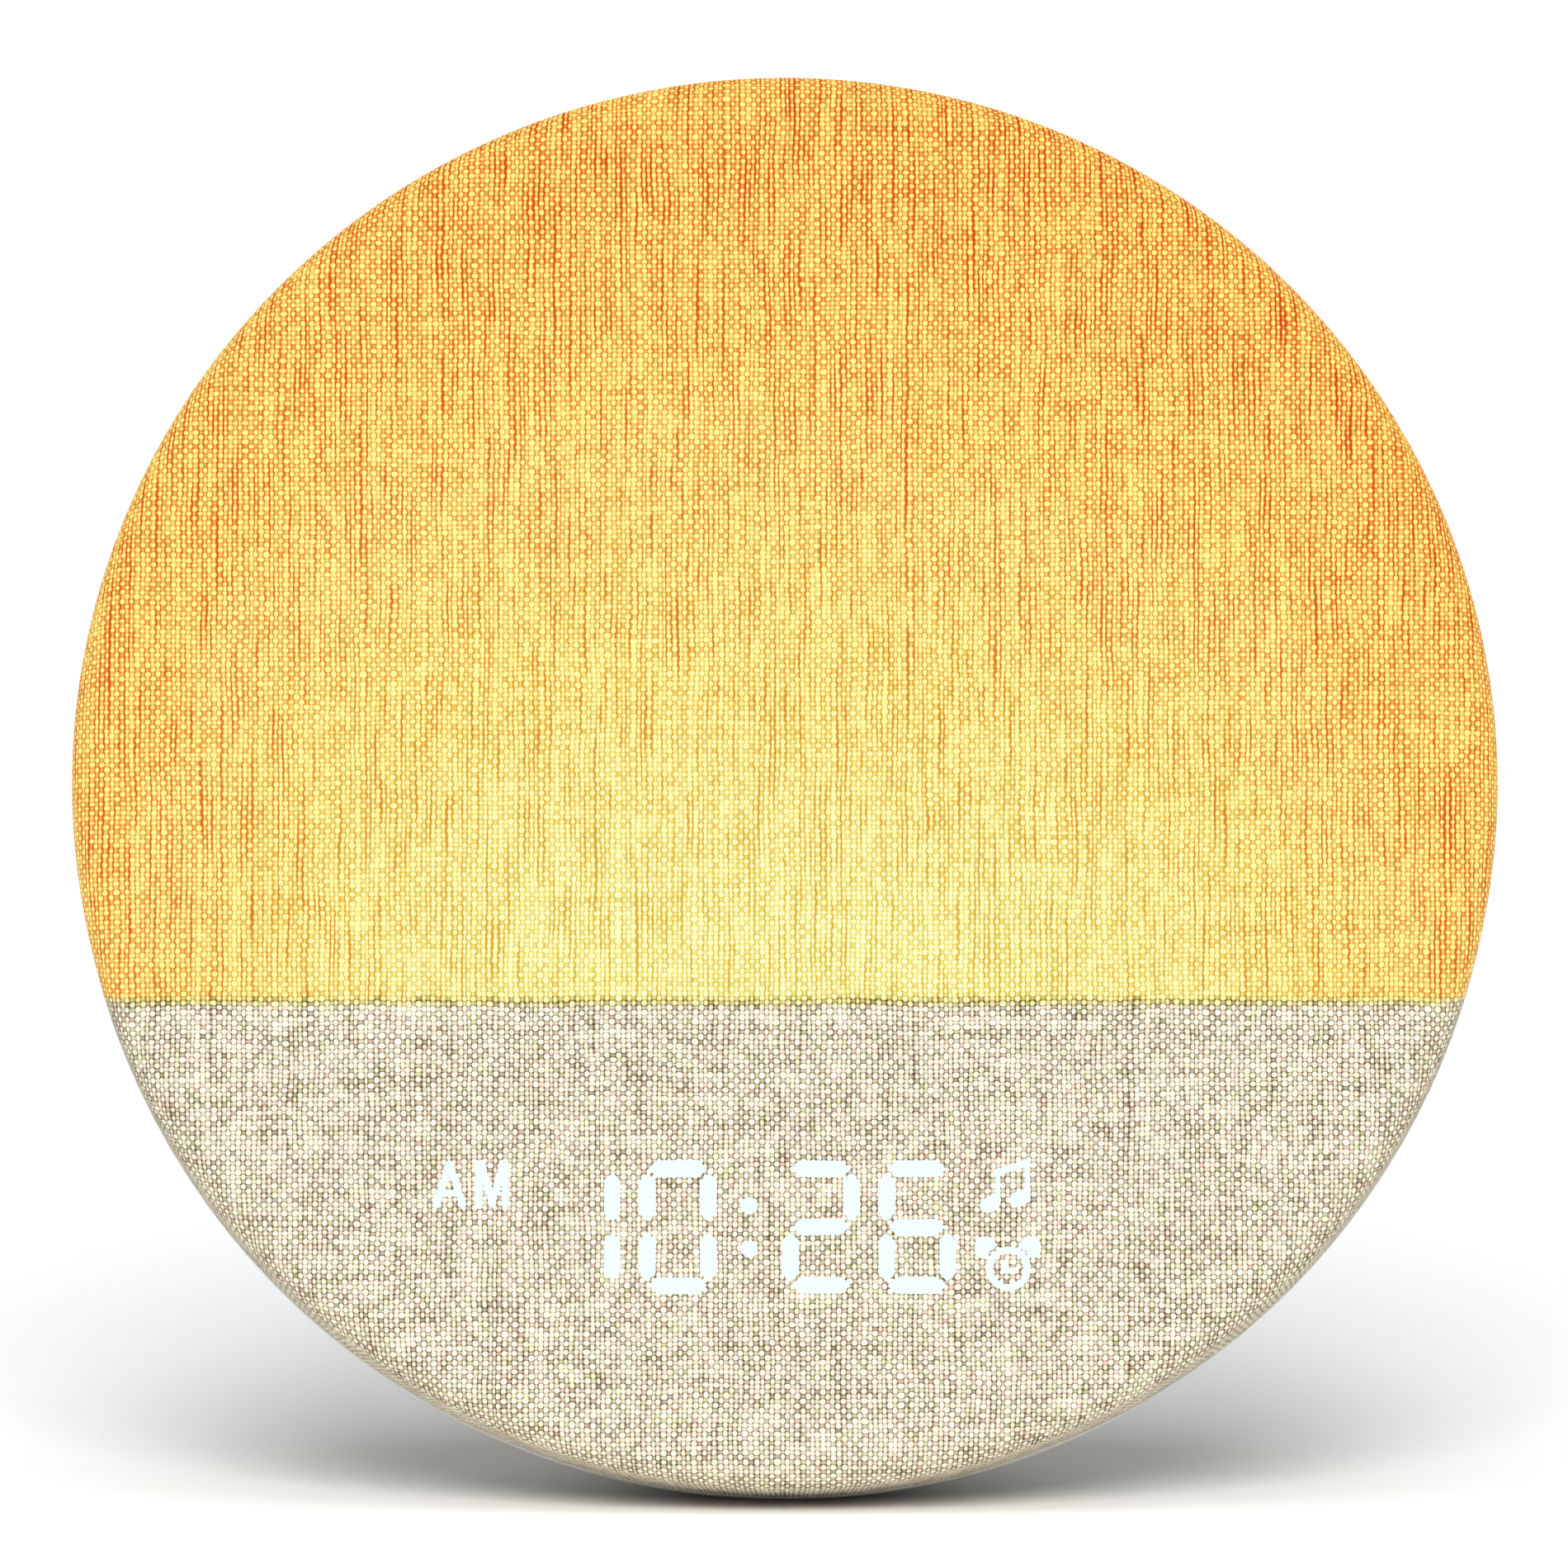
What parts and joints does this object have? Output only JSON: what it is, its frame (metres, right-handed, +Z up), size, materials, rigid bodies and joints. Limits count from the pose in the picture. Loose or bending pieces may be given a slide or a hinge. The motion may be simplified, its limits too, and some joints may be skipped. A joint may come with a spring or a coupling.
{
  "type": "alarm clock",
  "caption": "Round sunrise alarm clock: cloth front over a glowing panel and segment display, bowl-shaped housing, low foot, rear speaker, dial and push buttons.",
  "frame": {"origin": "middle of the foot pad's underside", "axes": "+Z up, the cloth face looks along -Y, +X to the right seen from the front"},
  "size_m": [0.178, 0.1031, 0.1758],
  "materials": {
    "linen_cloth": "plain linen-look weave",
    "frame_plastic": "moulded ABS",
    "opal_acrylic": "opal, satin",
    "panel_plastic": "moulded, opaque",
    "black_foam": "closed-cell foam",
    "tray_white": "reflective white",
    "circuit_board": "green solder mask",
    "lamp_chip": "phosphor",
    "light_guide": "clear, cool white",
    "smoked_film": "diffusing film",
    "housing_plastic": "fine-textured ABS",
    "cover_plastic": "fine-textured ABS",
    "button_plastic": "satin ABS",
    "dial_plastic": "satin ABS with a ribbed grip",
    "screw_steel": "zinc plated",
    "foot_metal": "powder coated",
    "silicone": "soft silicone",
    "chip_black": "moulded epoxy",
    "cell_steel": "nickel plated",
    "plug_metal": "nickel plated",
    "socket_plastic": "nylon",
    "speaker_steel": "black",
    "magnet_grey": "ferrite",
    "cone_paper": "coated paper",
    "copper_wire": "enamelled copper",
    "lead_sleeve": "PVC sleeve"
  },
  "bodies": {
    "clock": {"fabric_cover": "linen_cloth", "front_frame": "frame_plastic", "diffuser_panel": "opal_acrylic", "display_panel": "panel_plastic", "divider_gasket": "black_foam", "reflector_tray": "tray_white", "lamp_board": "circuit_board", "lamp_leds": "lamp_chip", "display_film": "smoked_film", "display_segments": "light_guide", "segment_housing": "chip_black", "display_leds": "lamp_chip", "display_board": "circuit_board", "frame_screws": "screw_steel", "rear_housing": "housing_plastic", "foot_block": "foot_metal", "base_pad": "silicone", "foot_screws": "screw_steel", "rear_cover": "cover_plastic", "cover_screws": "screw_steel", "main_board": "circuit_board", "main_chips": "chip_black", "board_screws": "screw_steel", "cell_holder": "chip_black", "coin_cell": "cell_steel", "cable_sockets": "socket_plastic", "usb_socket": "plug_metal", "usb_tongue": "chip_black", "speaker_frame": "speaker_steel", "speaker_magnet": "magnet_grey", "speaker_surround": "black_foam", "speaker_gasket": "black_foam", "encoder_body": "speaker_steel", "tact_switches": "chip_black", "snooze_switch": "chip_black", "snooze_board": "circuit_board", "slide_switch_body": "chip_black", "lamp_cable": "lead_sleeve", "display_cable": "lead_sleeve", "speaker_leads": "lead_sleeve"},
    "dial": {"volume_dial": "dial_plastic", "encoder_shaft": "plug_metal"},
    "snooze": {"snooze_button": "button_plastic", "snooze_plunger": "chip_black"},
    "slider": {"slide_knob": "chip_black"},
    "cone": {"speaker_cone": "cone_paper", "voice_coil": "copper_wire", "dust_cap": "cone_paper"},
    "alarm_key": {"alarm_button": "button_plastic", "alarm_plunger": "chip_black"},
    "clock_key": {"clock_button": "button_plastic", "clock_plunger": "chip_black"},
    "light_key": {"light_button": "button_plastic", "light_plunger": "chip_black"},
    "sound_key": {"sound_button": "button_plastic", "sound_plunger": "chip_black"}
  },
  "joints": [
    {"name": "snooze_press", "type": "slide", "parent": "clock", "child": "snooze", "axis": [0, -0.2419, -0.9703], "range_m": [0, 0.0008], "stiffness_N_per_m": 1500},
    {"name": "alarm_press", "type": "slide", "parent": "clock", "child": "alarm_key", "axis": [0, -0.9703, 0.2419], "range_m": [0, 0.0005], "stiffness_N_per_m": 2000},
    {"name": "clock_press", "type": "slide", "parent": "clock", "child": "clock_key", "axis": [0, -0.9703, 0.2419], "range_m": [0, 0.0005], "stiffness_N_per_m": 2000},
    {"name": "light_press", "type": "slide", "parent": "clock", "child": "light_key", "axis": [0, -0.9703, 0.2419], "range_m": [0, 0.0005], "stiffness_N_per_m": 2000},
    {"name": "sound_press", "type": "slide", "parent": "clock", "child": "sound_key", "axis": [0, -0.9703, 0.2419], "range_m": [0, 0.0005], "stiffness_N_per_m": 2000},
    {"name": "dial_turn", "type": "hinge", "parent": "clock", "child": "dial", "pos_m": [0, 0.04392, 0.10009], "axis": [0, 0.9703, -0.2419], "continuous": true},
    {"name": "alarm_slide", "type": "slide", "parent": "clock", "child": "slider", "axis": [1, 0, 0], "range_m": [0, 0.004]},
    {"name": "cone_travel", "type": "slide", "parent": "clock", "child": "cone", "axis": [0, 0.9703, -0.2419], "range_m": [-0.0005, 0.0005], "stiffness_N_per_m": 1500}
  ]
}
